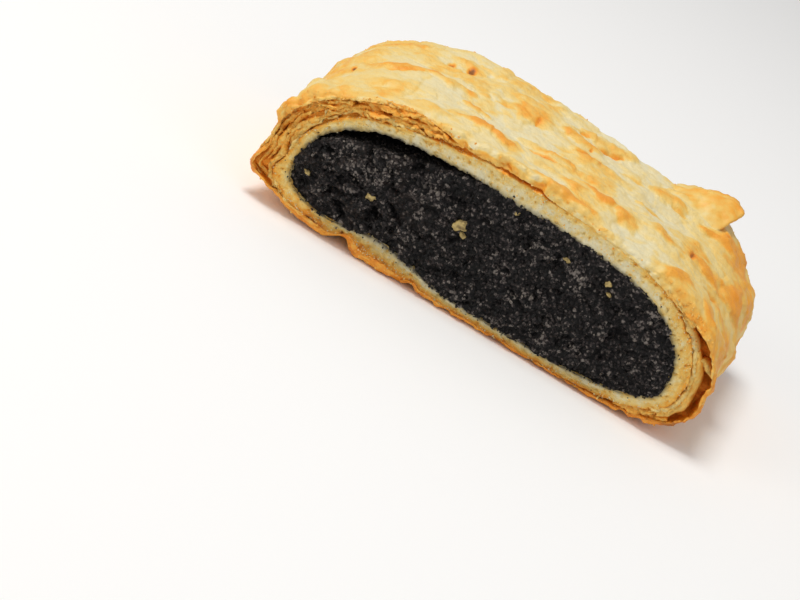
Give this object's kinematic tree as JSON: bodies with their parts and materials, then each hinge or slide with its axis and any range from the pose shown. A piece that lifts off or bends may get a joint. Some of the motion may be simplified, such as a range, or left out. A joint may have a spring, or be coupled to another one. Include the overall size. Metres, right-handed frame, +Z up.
{
  "type": "poppy seed strudel slice",
  "caption": "Cut piece of a flat oval strudel: flaky layered pastry rolled round a dark poppy seed filling that shows at both cuts.",
  "frame": {"origin": "centre of the object's box, on the surface the piece rests on", "axes": "+X across the roll to the right seen from the front cut, +Y along the roll from the front cut to the back cut, +Z up"},
  "size_m": [0.1086, 0.055, 0.0374],
  "materials": {
    "baked_pastry": null,
    "poppy_paste": null,
    "nut_crumb": null
  },
  "bodies": {
    "root": {"pastry_roll": "baked_pastry", "poppy_filling": "poppy_paste"}
  },
  "joints": []
}
